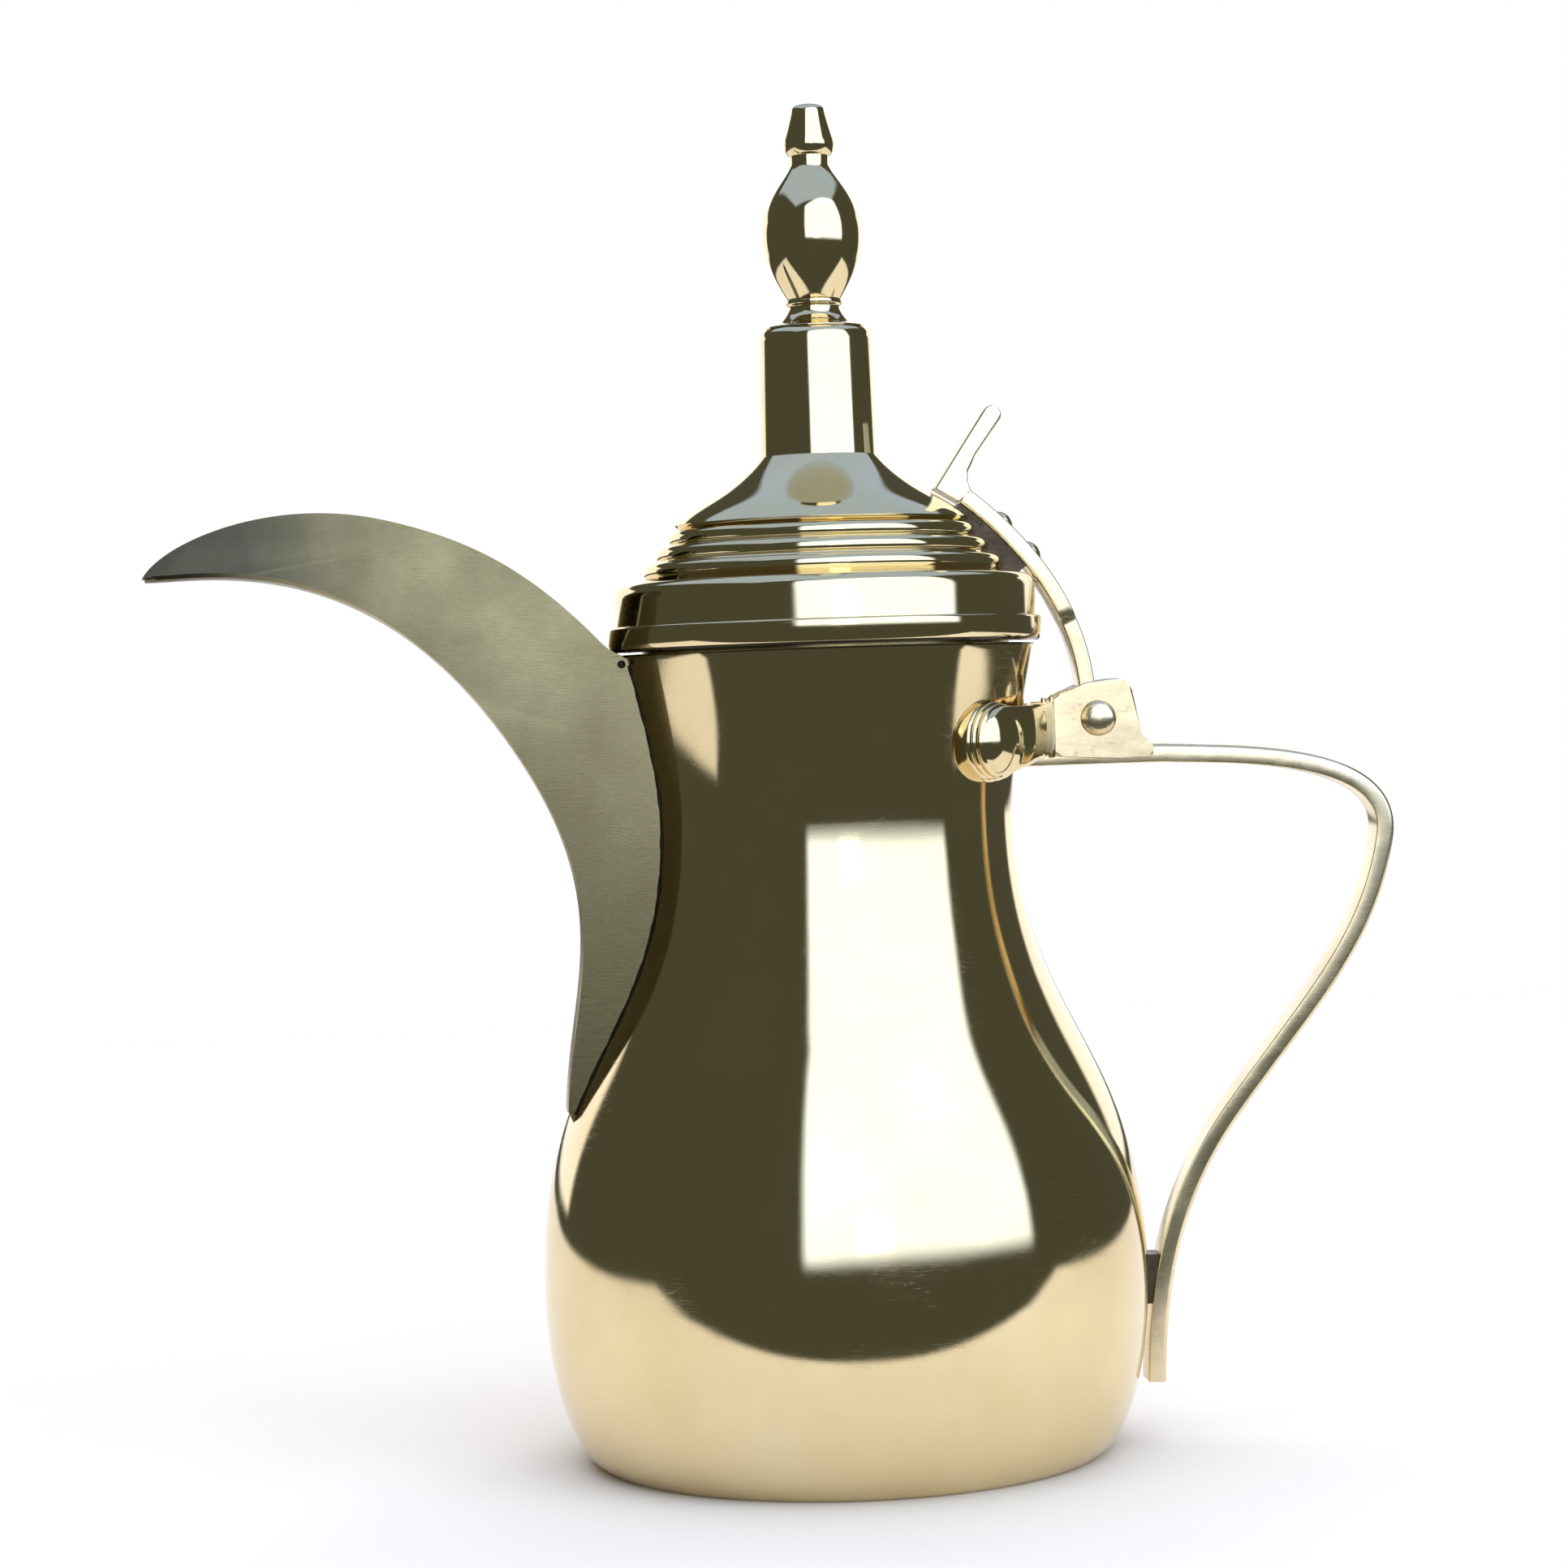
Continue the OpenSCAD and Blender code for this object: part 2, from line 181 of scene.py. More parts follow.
def new_piece(name, bm, body, slot, replaces=(), smooth_angle=32, flat=False):
    """Makes an object from a bmesh in millimetres, and puts it in the frame.

    Edges that turn by more than smooth_angle degrees stay sharp. flat keeps the large faces'
    shading flat right up to their rounded edges.
    """
    mesh = bpy.data.meshes.new(name)
    bmesh.ops.recalc_face_normals(bm, faces=bm.faces)
    bmesh.ops.scale(bm, vec=(MM, MM, MM), verts=bm.verts)
    bm.to_mesh(mesh)
    bm.free()
    mesh.shade_smooth()
    mesh.set_sharp_from_angle(angle=math.radians(smooth_angle))
    piece = bpy.data.objects.new(name, mesh)
    bpy.context.scene.collection.objects.link(piece)
    mesh.materials.append(MATERIALS[slot])
    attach(piece, body)
    if replaces:
        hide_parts(*replaces)
    if flat:
        weigh = piece.modifiers.new("weigh", "WEIGHTED_NORMAL")
        weigh.keep_sharp = True
        bake(piece)
    return piece


def bake(piece):
    """Bakes a piece's modifiers into its mesh."""
    graph = bpy.context.evaluated_depsgraph_get()
    baked = bpy.data.meshes.new_from_object(piece.evaluated_get(graph))
    old = piece.data
    piece.modifiers.clear()
    piece.data = baked
    bpy.data.meshes.remove(old)


def join_rings(bm, rings, closed_loop=False):
    """Faces between successive rings of vertices. A ring of one vertex is a pole."""
    pairs = list(zip(rings, rings[1:]))
    if closed_loop:
        pairs.append((rings[-1], rings[0]))
    for a, b in pairs:
        count = max(len(a), len(b))
        for i in range(count):
            j = (i + 1) % count
            if len(a) == 1 and len(b) == 1:
                continue
            if len(a) == 1:
                bm.faces.new((a[0], b[j], b[i]))
            elif len(b) == 1:
                bm.faces.new((a[i], a[j], b[0]))
            else:
                bm.faces.new((a[i], a[j], b[j], b[i]))


def turned(outline, segments=192, closed=True):
    """A bmesh turned about Z from an outline of (radius, z)."""
    bm = bmesh.new()
    rings = []
    for r, z in outline:
        if r < 1e-4:
            rings.append([bm.verts.new((0, 0, z))])
            continue
        turns = [2 * math.pi * k / segments for k in range(segments)]
        rings.append([bm.verts.new((r * math.cos(a), r * math.sin(a), z)) for a in turns])
    join_rings(bm, rings, closed_loop=closed)
    return bm


def swept(path, section_at):
    """A capped bar along a path in the XZ plane. section_at(i) lists (outward, y) round the bar."""
    bm = bmesh.new()
    rings = []
    for i, (p, d) in enumerate(zip(path, headings(path))):
        ring = []
        for out, y in section_at(i):
            ring.append(bm.verts.new((p[0] - out * d[1], y, p[1] + out * d[0])))
        rings.append(ring)
    join_rings(bm, rings)
    bm.faces.new(rings[0])
    bm.faces.new(rings[-1])
    return bm


def slab(outline, y_at, bevel=0.3, segments=3):
    """A plate with the side outline [(x, z)]; y_at(x, z) gives the y of its two faces."""
    bm = bmesh.new()
    sides = []
    for k in (0, 1):
        sides.append([bm.verts.new((x, y_at(x, z)[k], z)) for x, z in outline])
    rims = []
    for side in sides:
        rims += list(bm.faces.new(side).edges)
    for i in range(len(outline)):
        j = (i + 1) % len(outline)
        bm.faces.new((sides[0][i], sides[0][j], sides[1][j], sides[1][i]))
    bmesh.ops.bevel(bm, geom=rims, offset=bevel, segments=segments, affect="EDGES", profile=0.5,
                    clamp_overlap=True)
    return bm


# ---------------------------------------------------------------- materials

SMEAR = 0.03        # metres that the edge of the painted dark tip wanders
# the colour of the painted shade in the gap between the pot's rim and the lid
GAP_SHADE = (0.035, 0.028, 0.02)
SCRATCH_ROUGHNESS = 0.12

# the turn of each family of scratches from the polishing lines, and how wide they are
SCRATCHES = (((0.5, 0.3, 0.4), 0.022), ((-0.7, 0.9, -0.5), 0.016), ((1.3, -0.4, 0.9), 0.014))


def node_maker(tree):
    """Returns make(kind, inputs, **settings), which adds a node and sets or links its inputs."""
    def make(kind, inputs=None, **settings):
        made = tree.nodes.new(kind)
        for key, value in settings.items():
            setattr(made, key, value)
        for key, value in (inputs or {}).items():
            if isinstance(value, bpy.types.NodeSocket):
                tree.links.new(value, made.inputs[key])
            else:
                made.inputs[key].default_value = value
        return made
    return make


def colour_mix(make, factor, a, b):
    """A mix of two colours. a and b are colour tuples or sockets."""
    mixed = make("ShaderNodeMix", data_type="RGBA")
    tree = mixed.id_data
    for name, value in (("Factor_Float", factor), ("A_Color", a), ("B_Color", b)):
        socket = next(s for s in mixed.inputs if s.identifier == name)
        if isinstance(value, bpy.types.NodeSocket):
            tree.links.new(value, socket)
        else:
            socket.default_value = value if name == "Factor_Float" else (*value[:3], 1)
    return next(s for s in mixed.outputs if s.identifier == "Result_Color")


def ranged(make, value, low, high, to_low=0.0, to_high=1.0):
    """The value moved from the range low to high to another range, and held inside it."""
    return make("ShaderNodeMapRange", {"Value": value, "From Min": low, "From Max": high,
                                       "To Min": to_low, "To Max": to_high}).outputs[0]


def combined(make, operation, *values):
    """The result of a Math node on numbers or sockets."""
    return make("ShaderNodeMath", dict(enumerate(values)), operation=operation).outputs[0]


def noise(make, place, scale, detail, roughness=0.5):
    """A noise factor with about scale waves in a metre."""
    return make("ShaderNodeTexNoise", {"Vector": place, "Scale": scale, "Detail": detail,
                                       "Roughness": roughness}).outputs["Fac"]


def mapped(make, place, turn, stretch):
    """The place scaled, then turned, which draws a noise out into lines."""
    return make("ShaderNodeMapping", {"Vector": place, "Rotation": turn, "Scale": stretch}).outputs[0]


def bumped(make, height, distance, normal=None):
    """A normal with a bump of height times distance, in metres, on top of another normal."""
    inputs = {"Height": height, "Distance": distance, "Strength": 1.0}
    if normal is not None:
        inputs["Normal"] = normal
    return make("ShaderNodeBump", inputs).outputs[0]


def tip_darkened(make, place, turn, base, dark_tip):
    """The colour base, darkened from one x to another with an edge smeared along the lines: a painted
    dark reflection.
    """
    start, full, tip_colour = dark_tip
    patch = noise(make, mapped(make, place, turn, (1, 1, 0.25)), 60.0, 4.0)
    x = make("ShaderNodeSeparateXYZ", {"Vector": place}).outputs[0]
    across = combined(make, "MULTIPLY_ADD", patch, SMEAR, x)
    return colour_mix(make, ranged(make, across, start, full), base, tip_colour)


def gap_shaded(make, place, base, joint):
    """The colour base, with painted shade for the gap under the lid, round the rim between two
    heights.
    """
    low, high = (level * MM for level in joint)
    height = make("ShaderNodeSeparateXYZ", {"Vector": place}).outputs[2]
    above = ranged(make, height, low - 0.2 * MM, low)
    below = ranged(make, height, high, high + 0.1 * MM, 1.0, 0.0)
    flat = make("ShaderNodeVectorMath", {0: place, 1: (1, 1, 0)}, operation="MULTIPLY").outputs[0]
    reach = make("ShaderNodeVectorMath", {0: flat}, operation="LENGTH").outputs["Value"]
    outer = ranged(make, reach, (RIM_R - 0.5) * MM, RIM_R * MM)
    band = combined(make, "MULTIPLY", above, below)
    return colour_mix(make, combined(make, "MULTIPLY", band, outer), base, GAP_SHADE)


def scratched(make, place, turn, cloud, rough):
    """The roughness rough, raised along hairline scratches where the cloud noise is high."""
    patch = ranged(make, cloud, 0.50, 0.62)
    for turn_more, share in SCRATCHES:
        turned_by = tuple(a + b for a, b in zip(turn, turn_more))
        hairs = noise(make, mapped(make, place, turned_by, (1, 1, 22)), 62.0, 1.0)
        near = combined(make, "ABSOLUTE", combined(make, "SUBTRACT", hairs, 0.52))
        scratch = ranged(make, near, share * 0.12, share * 0.35, SCRATCH_ROUGHNESS, 0.0)
        rough = combined(make, "MULTIPLY_ADD", scratch, patch, rough)
    return rough


def brass(name, colour, dull, roughness, lines, bumps, line_depth, pits=0.0, dark_tip=None,
          joint=None, anisotropic=0.0):
    """Brass whose colour, roughness and surface vary.

    roughness is (lowest, highest), with scratches above it. lines is (scale, stretch, turn) of the
    fine polishing lines, and bumps lists (scale, distance, detail) from coarse to fine. pits is the
    strength of small dark pits, and dark_tip is (x where it starts, x where it is full, colour) of a
    painted dark reflection. joint is the pair of heights between which a line of painted shade lies.
    """
    material = bpy.data.materials.new(name)
    material.use_nodes = True
    tree = material.node_tree
    make = node_maker(tree)
    shader = tree.nodes["Principled BSDF"]
    shader.inputs["Metallic"].default_value = 1.0
    shader.inputs["Anisotropic"].default_value = anisotropic
    place = make("ShaderNodeTexCoord").outputs["Object"]

    cloud = noise(make, place, 34.0, 5.0, 0.6)
    scale, stretch, turn = lines
    grain = noise(make, mapped(make, place, turn, stretch), scale, 4.0, 0.7)

    base = colour_mix(make, ranged(make, cloud, 0.36, 0.70), colour, dull)
    if dark_tip:
        base = tip_darkened(make, place, turn, base, dark_tip)
    if joint:
        base = gap_shaded(make, place, base, joint)
    if pits:
        spot = ranged(make, noise(make, place, 520.0, 4.0, 0.6), 0.60, 0.72, 0.0, pits)
        base = colour_mix(make, spot, base, tuple(c * 0.35 for c in dull))
    tree.links.new(base, shader.inputs["Base Color"])

    low, high = roughness
    rough = scratched(make, place, turn, cloud, ranged(make, cloud, 0.30, 0.75, low, high))
    ridges = ranged(make, grain, 0.35, 0.75, -0.5, 1.0)
    rough = combined(make, "MULTIPLY_ADD", ridges, (high - low) * 0.4, rough)
    tree.links.new(rough, shader.inputs["Roughness"])

    normal = None
    for bump_scale, distance, detail in bumps:
        normal = bumped(make, noise(make, place, bump_scale, detail), distance, normal)
    tree.links.new(bumped(make, grain, line_depth, normal), shader.inputs["Normal"])
    return material


MATERIALS = {
    "polished_brass": brass(
        "polished_brass", (0.84, 0.70, 0.42), (0.79, 0.63, 0.36), (0.03, 0.085),
        lines=(420.0, (1, 1, 30), (0, 0, 0)),
        bumps=[(22.0, 0.00024, 1.0), (80.0, 0.00002, 1.0)],
        # joint places the painted shade line in the gap between the rim and the lid
        line_depth=0.000002, joint=(RIM_Z - 0.35, LID_Z + 0.45)),
    "satin_brass": brass(
        "satin_brass", (0.46, 0.375, 0.19), (0.35, 0.285, 0.14), (0.19, 0.29),
        lines=(300.0, (1, 1, 24), (0, math.radians(52), 0)),
        bumps=[(14.0, 0.00010, 1.0), (110.0, 0.000008, 2.0)],
        # the beak darkens towards its tip: a painted dark reflection
        line_depth=0.000010, dark_tip=(-0.080, -0.112, (0.15, 0.13, 0.085)), anisotropic=0.3),
    "cast_brass": brass(
        "cast_brass", (0.88, 0.76, 0.50), (0.75, 0.60, 0.37), (0.15, 0.30),
        lines=(420.0, (1, 1, 16), (0, math.radians(60), 0)),
        bumps=[(70.0, 0.00012, 2.0), (380.0, 0.000008, 2.0)],
        line_depth=0.000003, pits=0.3),
    # solder is drawn near black: partly its own dull colour, partly painted shade, so the packing
    # under the strap shows as a dark band
    "solder": brass(
        "solder", (0.11, 0.083, 0.055), (0.035, 0.026, 0.018), (0.30, 0.55),
        lines=(500.0, (1, 1, 4), (0, 0, 0)),
        bumps=[(300.0, 0.00020, 3.0), (800.0, 0.00005, 3.0)],
        line_depth=0.000005, pits=0.6),
}


# ---------------------------------------------------------------- pot

def hole_cutter():
    """An object of level rods, one through the neck's wall for each straining hole."""
    rods = bmesh.new()
    level = Matrix.Rotation(math.pi / 2, 4, "Y")
    for row in range(HOLE_ROWS):
        for column in (-1, 0, 1):
            place = Matrix.Translation((-45, column * HOLE_GAP_Y, LOWEST_HOLE_Z + row * HOLE_GAP_Z))
            bmesh.ops.create_cone(rods, cap_ends=True, segments=24, radius1=HOLE_R, radius2=HOLE_R,
                                  depth=60, matrix=place @ level)
    mesh = bpy.data.meshes.new("cutter")
    bmesh.ops.scale(rods, vec=(MM, MM, MM), verts=rods.verts)
    rods.to_mesh(mesh)
    rods.free()
    cutter = bpy.data.objects.new("cutter", mesh)
    bpy.context.scene.collection.objects.link(cutter)
    return cutter


def pot_body():
    """The spun bowl and neck, polished to one skin, with the straining holes behind the beak."""
    lip = [(RIM_R - 0.08, RIM_Z - 0.25), (RIM_R - 0.3, RIM_Z),
           (RIM_R - WALL + 0.25, RIM_Z), (RIM_R - WALL, RIM_Z - 0.3)]
    inner = beside(POT_LINE, WALL)[:-1]
    outline = POT_LINE[:-1] + lip + inner[::-1] + [(PLATE_R, WALL), (PLATE_R, 0)]
    piece = new_piece("pot_body", turned(outline, 256), "pot", "polished_brass",
                      ["body_bowl", "body_neck"])
    cutter = hole_cutter()
    cut = piece.modifiers.new("holes", "BOOLEAN")
    cut.operation, cut.solver, cut.object = "DIFFERENCE", "EXACT", cutter
    bake(piece)
    bpy.data.objects.remove(cutter)


# ---------------------------------------------------------------- beak

BEAK_TOP_LINE = chain([
    [TIP, (-147.2, 205.6), (-121.9, 216.6), (-95.7, 209.7)],
    [(-95.7, 209.7), (-79.2, 205.3), (-65, 199.1), BEAK_TOP]], 36)
BEAK_UNDER_LINE = chain([
    [TIP, (-138, 197.2), (-101.8, 205.6), (-72, 161.7)],
    [(-72, 161.7), (-47.1, 125), (-59, 107.2), (-60.9, 79.2)]], 40)


def beak_half(x):
    """Half of the beak's width at x."""
    share = (x - TIP[0]) / (BEAK_ROOT_X - TIP[0])
    return BEAK_HALF_TIP + (BEAK_HALF_ROOT - BEAK_HALF_TIP) * share


def seam_points(count=60):
    """Where a cheek meets the pot, from the top down, as (x, z)."""
    high = BEAK_TOP[1]
    points = []
    for k in range(count + 1):
        z = high + (BEAK_LOW_Z - high) * k / count
        x = -pot_radius(z)
        for _ in range(4):
            x = -math.sqrt(pot_radius(z) ** 2 - beak_half(x) ** 2)
        points.append((x - SEAM_GAP, z))
    return points


def keel_depth(x):
    """How far the keel's rounded underside stands below the cheeks' lower edges."""
    return 0.35 + 1.1 * smooth_step(-88, -128, x)


def beak():
    """The two satin cheeks, the keel that closes them below, and the solder along the pot."""
    seam = seam_points()
    sunk = beside(BEAK_UNDER_LINE, lambda i: keel_depth(BEAK_UNDER_LINE[i][0]))
    low_edge = [q for q in sunk if TIP[0] + 1.2 < q[0]]
    outline = BEAK_TOP_LINE[1:-1] + seam + low_edge[::-1]
    for side, name in SIDES:
        def y_at(x, z, side=side):
            return side * beak_half(x), side * (beak_half(x) - CHEEK_T)
        sheet = slab(outline, y_at, 0.25, 3)
        new_piece("beak_cheek_" + name + "_sheet", sheet, "pot", "satin_brass",
                  ["beak_cheek_" + name], flat=True)

    path = [q for q in BEAK_UNDER_LINE if TIP[0] + 0.3 < q[0]]

    def section(i):
        x = path[i][0]
        wide, deep = beak_half(x) - 0.02, keel_depth(x)
        narrow = max(wide - CHEEK_T, 0.2)
        crown = []
        for k in range(17):
            y = -wide + 2 * wide * k / 16
            crown.append((deep * (1 - math.sqrt(max(1 - (y / wide) ** 2, 0.0)) ** 0.7), y))
        return crown + [(deep, narrow), (KEEL_T, narrow), (KEEL_T, -narrow), (deep, -narrow)]
    new_piece("beak_keel_strip", swept(path, section), "pot", "satin_brass", ["beak_keel"])
    seam_bead(seam)


def seam_bead(seam):
    """A thin run of solder in each corner between cheek and pot."""
    for side, name in SIDES:
        bm = bmesh.new()
        rings = []
        for k, (x, z) in enumerate(seam[1:-1]):
            here = Vector((x, side * beak_half(x), z))
            out_of_pot = Vector((here.x, here.y, 0)).normalized()
            off_cheek = Vector((0.1, side, 0)).normalized()
            size = 0.42 + 0.14 * math.sin(k * 1.7) * math.sin(k * 0.61)
            corners = (here - 0.3 * out_of_pot - 0.3 * off_cheek,
                       here + size * off_cheek - 0.12 * out_of_pot,
                       here + 0.42 * size * (off_cheek + out_of_pot * 0.6),
                       here + size * out_of_pot - 0.12 * off_cheek)
            rings.append([bm.verts.new(c) for c in corners])
        join_rings(bm, rings)
        bm.faces.new(rings[0])
        bm.faces.new(rings[-1])
        new_piece("beak_seam_" + name, bm, "pot", "solder", smooth_angle=80)


# ---------------------------------------------------------------- handle and brackets

HANDLE_LINE = [(x, BAR_Z) for x in (40.8, 44, 48, 52, 58, 64, 70)] + chain([
    [(74, BAR_Z), (88.2, 152.4), (127.2, 153.2), (123.8, 133.1)],
    [(123.8, 133.1), (119.8, 109.5), (105.3, 96.2), (87.8, 73.2)],
    [(87.8, 73.2), (74.3, 55.5), (69.7, 37.8), (68.8, 13.1)]], 44)


def rounded_bar(half_w, low, high, low_r, high_r, crown=0.0, count=5):
    """A section (outward, y) of a bar from low to high, with corners of low_r and high_r.

    The middle of its high face stands crown above the sides.
    """
    points = []
    for sign, level, r in ((-1, low, low_r), (1, low, low_r), (1, high, high_r), (-1, high, high_r)):
        up = 1 if level == low else -1
        turns = range(count + 1)
        if (sign > 0) == (level == low):
            turns = reversed(turns)
        for k in turns:
            a = math.pi / 2 * k / count
            y = sign * (half_w - r + r * math.cos(a))
            points.append((level + up * (r - r * math.sin(a)), y))
        if level == high and sign > 0 and crown:
            for k in range(1, 8):
                y = (half_w - r) * (1 - k / 4)
                points.append((level + crown * (1 - (y / (half_w - r)) ** 2), y))
    return points


def handle():
    """A flat bar, with a crowned outer face and edges softened by filing."""
    half_t = BAR_T / 2
    section = rounded_bar(BAR_W / 2, -half_t, half_t - CROWN - CROWN_INSET, 0.3, 1.1, CROWN)
    new_piece("handle_strap", swept(HANDLE_LINE, lambda i: section), "pot", "cast_brass",
              ["handle_bar"], 50)


def bracket_rings(name, axis):
    """The turned boss with its three rings, along the axis."""
    rings = [(0, 38.5), (8.0, 38.5), (BOSS_R, 41.6), (BOSS_R, 43.0), (8.5, 43.5),
             (7.9, 43.8), (8.45, 44.1), (8.6, 44.5), (8.2, 44.9),
             (7.6, 45.1), (8.1, 45.4), (8.2, 45.8), (7.9, 46.2), (7.3, 46.5), (0, 46.5)]
    bm = turned(soften(rings, 0.18, 3), 96, closed=False)
    bmesh.ops.transform(bm, matrix=axis, verts=bm.verts)
    new_piece("bracket_" + name + "_rings", bm, "pot", "polished_brass", smooth_angle=60)


def bracket_arm(side, name, axis):
    """The boss's round end and the arm that hugs the neck, blended into one smooth form."""
    bm = bmesh.new()
    bulb = axis @ Matrix.Translation((0, 0, 45.2)) @ Matrix.Diagonal((7.9, 7.9, 4.0, 1))
    bmesh.ops.create_uvsphere(bm, u_segments=64, v_segments=32, radius=1, matrix=bulb)
    # (x, y), turn, height of the middle, tall, thick
    stations = [((35.4, -30.6), -64, 157.4, 15.4, 6.6), ((40.4, -25.6), -55, 158.2, 14.0, 6.4),
                ((44.3, -19.8), -48, 159.0, 12.8, 5.8), ((46.9, -13.9), -42, 159.5, 12.4, 5.0),
                ((48.4, -9.1), -38, 159.7, 12.5, 4.2), ((49.4, -6.4), -36, 159.8, 12.6, 3.0)]
    squareness = 0.85
    arm = []
    for (x, y), turn, z, tall, thick in stations:
        spin = Matrix.Rotation(-side * math.radians(turn), 4, "Z")
        stand = Matrix.Translation((x, -side * y, z)) @ spin
        ring = []
        for k in range(40):
            a = 2 * math.pi * k / 40
            c, s = math.cos(a), math.sin(a)
            out = math.copysign(abs(c) ** squareness, c) * thick / 2
            up = math.copysign(abs(s) ** squareness, s) * tall / 2
            ring.append(bm.verts.new(stand @ Vector((0, out, up))))
        arm.append(ring)
    join_rings(bm, arm)
    bm.faces.new(arm[0])
    bm.faces.new(arm[-1])
    piece = new_piece("bracket_" + name + "_arm", bm, "pot", "polished_brass")
    blend = piece.modifiers.new("blend", "REMESH")
    blend.mode, blend.voxel_size = "VOXEL", 0.38 * MM
    ease = piece.modifiers.new("ease", "SMOOTH")
    ease.factor, ease.iterations = 0.5, 24
    bake(piece)
    piece.data.shade_smooth()


def bracket_plate(side, name):
    """The flat plate for the pin, and the raised rib where the arm runs into it."""
    inner, outer = BAR_W / 2, BAR_W / 2 + PLATE_T
    plate = [(49.0, BAR_Z), (49.0, 166.1), (57, 169.5), (63.6, 170.2), (66.2, 169.5), (67.4, 167.4),
             (69.2, 157.6), (70.2, 156.2), (71.7, 155.2), (71.8, 152.6), (64, 152.5), (56, 152.9)]
    bm = slab(soften(plate, 2.4, 6), lambda x, z: (side * inner, side * outer), 0.45, 4)
    new_piece("bracket_" + name + "_plate", bm, "pot", "cast_brass", ["bracket_" + name], 40,
              flat=True)

    steps = 20
    rib = [(49.2, 153.1 + 13.2 * k / steps) for k in range(steps + 1)]

    def section(i):
        r = 0.75 * math.sin(math.pi * (0.12 + 0.76 * i / steps)) ** 0.3
        turns = [2 * math.pi * k / 16 for k in range(16)]
        return [(r * math.sin(a), side * (outer - 0.15 + r * math.cos(a))) for a in turns]
    new_piece("bracket_" + name + "_rib", swept(rib, section), "pot", "polished_brass",
              smooth_angle=60)


def bracket(side, name):
    """A ringed boss, a smooth arm that hugs the neck, and a flat plate for the pin."""
    swing = Matrix.Rotation(side * math.radians(BOSS_ANGLE), 4, "Z")
    axis = swing @ Matrix.Translation((0, 0, BOSS_Z)) @ Matrix.Rotation(math.pi / 2, 4, "Y")
    bracket_rings(name, axis)
    bracket_arm(side, name, axis)
    bracket_plate(side, name)


# ---------------------------------------------------------------- lid

def dome():
    """The spun lid: a straight skirt, a shoulder, three rounded steps and a flare to the tower."""
    shoulder = [(LID_R, 190.9), (LID_R, 193), (45.8, 194), (43.4, 194.3)]
    flare = [(33, 206.4), (29, 211.5), (19, 214), (TOWER_R, 221.4)]
    outside = [(LID_R, DOME_Z)] + cubic(shoulder, 12)
    turns = [math.radians(a) for a in range(-40, 121, 8)]
    for r, z in ((38.2, 196.6), (35.2, 200.3), (32.3, 203.8)):
        outside += [(r + STEP_R * math.cos(a), z + STEP_R * math.sin(a)) for a in turns]
    outside += cubic(flare, 32, 1)
    inside = [(LID_R - WALL, DOME_Z), (LID_R - WALL, 191), (44, 192.7), (39.8, 194), (31, 203.6)]
    inside += beside(cubic(flare, 32), WALL)[3:]
    new_piece("lid_dome_shell", turned(outside + inside[::-1], 256), "lid", "polished_brass",
              ["lid_dome"], 40)


def flange():
    """The ring round the lid's lower edge, down to the pot's rim."""
    low_z, top_z = LID_Z - SEAT_DROP, LID_Z + FLANGE_H
    ring = [(SLEEVE_R, low_z), (FLANGE_R - 1, low_z), (FLANGE_R - 0.4, low_z + 0.6),
            (FLANGE_R, LID_Z + 1.6), (FLANGE_R, top_z - 0.4), (FLANGE_R - 0.4, top_z), (LID_R, top_z),
            (LID_R, DOME_Z), (SLEEVE_R, DOME_Z)]
    new_piece("lid_flange", turned(soften(ring, 0.4), 256), "lid", "polished_brass",
              ["lid_flange_ring"])


def tower():
    """The tube on the dome and the flared collar on its top."""
    top_r = TOWER_R - 0.4
    under_z = TOWER_TOP - 1.4
    tube = [(TOWER_R - WALL, 218.6), (TOWER_R, 218.6), (TOWER_R, 221.4), (top_r, 246.8),
            (top_r - 0.3, 248.2), (top_r - 0.9, 249.2), (top_r - 1.8, TOWER_TOP),
            (ROD_HOLE_R, TOWER_TOP), (ROD_HOLE_R, under_z), (top_r - WALL - 0.2, under_z),
            (top_r - WALL, 246.8)]
    new_piece("tower_tube", turned(tube, 160), "lid", "polished_brass", ["lid_tower"], 45)

    foot_r = 10.9
    flare = [(foot_r, TOWER_TOP + 0.4), (7.6, TOWER_TOP + 1.2), (6, TOWER_TOP + 2.6),
             (5.8, COLLAR_Z - 1.6)]
    collar = [(ROD_HOLE_R, TOWER_TOP), (foot_r, TOWER_TOP)] + cubic(flare, 14)
    collar += [(6.3, COLLAR_Z - 1), (6.3, COLLAR_Z - 0.3), (5.9, COLLAR_Z), (ROD_HOLE_R, COLLAR_Z)]
    new_piece("collar_ring", turned(soften(collar, 0.25), 160), "lid", "polished_brass",
              ["tower_collar"], 45)


